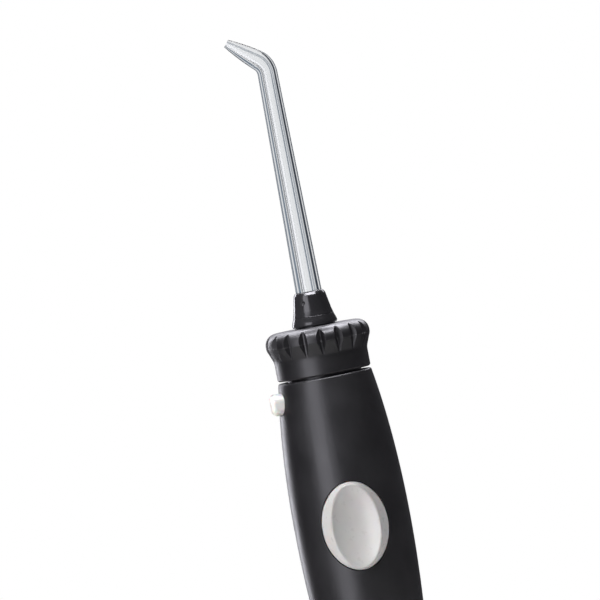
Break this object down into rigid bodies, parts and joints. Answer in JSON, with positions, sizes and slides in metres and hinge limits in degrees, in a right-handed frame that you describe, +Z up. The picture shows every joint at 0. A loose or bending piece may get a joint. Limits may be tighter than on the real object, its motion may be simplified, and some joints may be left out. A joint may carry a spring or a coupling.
{
  "type": "water flosser handpiece",
  "caption": "Hand-held water flosser handpiece: round black handle, rotating fluted knob, bent clear jet tip, side eject button and large oval pause button, fed by a hose at its tail.",
  "frame": {"origin": "centre of the hose entry's mouth, in the tail cap's flat end face", "axes": "+Z runs up the handle's axis towards the jet tip; the pause button faces -Y; the eject button and the nozzle's bend face -X"},
  "size_m": [0.0322, 0.0334, 0.2298],
  "materials": {
    "shell_black": "satin moulded ABS",
    "knob_black": "satin moulded ABS",
    "collar_black": "glossy moulded plastic",
    "button_grey": "satin moulded plastic",
    "eject_white": "satin moulded plastic",
    "clear_tip": "clear moulded plastic",
    "acetal_white": "moulded acetal",
    "valve_plastic": "moulded glass-filled nylon",
    "silicone_tube": "translucent silicone",
    "seal_rubber": "moulded nitrile rubber",
    "spring_steel": "drawn stainless wire",
    "screw_steel": "stainless steel"
  },
  "bodies": {
    "handle": {"front_shell": "shell_black", "rear_shell": "shell_black", "tail_cap": "shell_black", "inlet_fitting": "acetal_white", "lower_tube": "silicone_tube", "upper_tube": "silicone_tube", "tube_clamps": "screw_steel", "valve_body": "valve_plastic", "valve_screws": "screw_steel", "pause_spring": "spring_steel", "bearing_head": "shell_black", "seal_block": "valve_plastic", "stem_seal": "seal_rubber", "head_screws": "screw_steel", "friction_ring": "seal_rubber", "retainer_clip": "spring_steel", "eject_springs": "spring_steel"},
    "rotor": {"rotation_knob": "knob_black", "rotor_core": "acetal_white", "retaining_ring": "spring_steel"},
    "tip": {"tip_base": "collar_black", "id_ring": "collar_black", "jet_tip": "clear_tip"},
    "eject": {"eject_button": "eject_white"},
    "pause": {"pause_button": "button_grey", "valve_spool": "acetal_white", "spool_seals": "seal_rubber", "spool_pin": "screw_steel"}
  },
  "joints": [
    {"name": "knob_turn", "type": "hinge", "parent": "handle", "child": "rotor", "pos_m": [0, 0, 0.1413], "axis": [0, 0, 1], "continuous": true},
    {"name": "tip_pull", "type": "slide", "parent": "rotor", "child": "tip", "axis": [0, 0, 1], "range_m": [0, 0.034], "deforming": ["retainer_clip"]},
    {"name": "eject_press", "type": "slide", "parent": "handle", "child": "eject", "axis": [1, 0, 0], "range_m": [0, 0.0022], "stiffness_N_per_m": 600, "springref_m": -0.0015, "deforming": ["eject_springs", "retainer_clip"]},
    {"name": "pause_press", "type": "slide", "parent": "handle", "child": "pause", "axis": [0, 1, 0], "range_m": [0, 0.0022], "stiffness_N_per_m": 700, "springref_m": -0.002, "deforming": ["pause_spring"]}
  ]
}
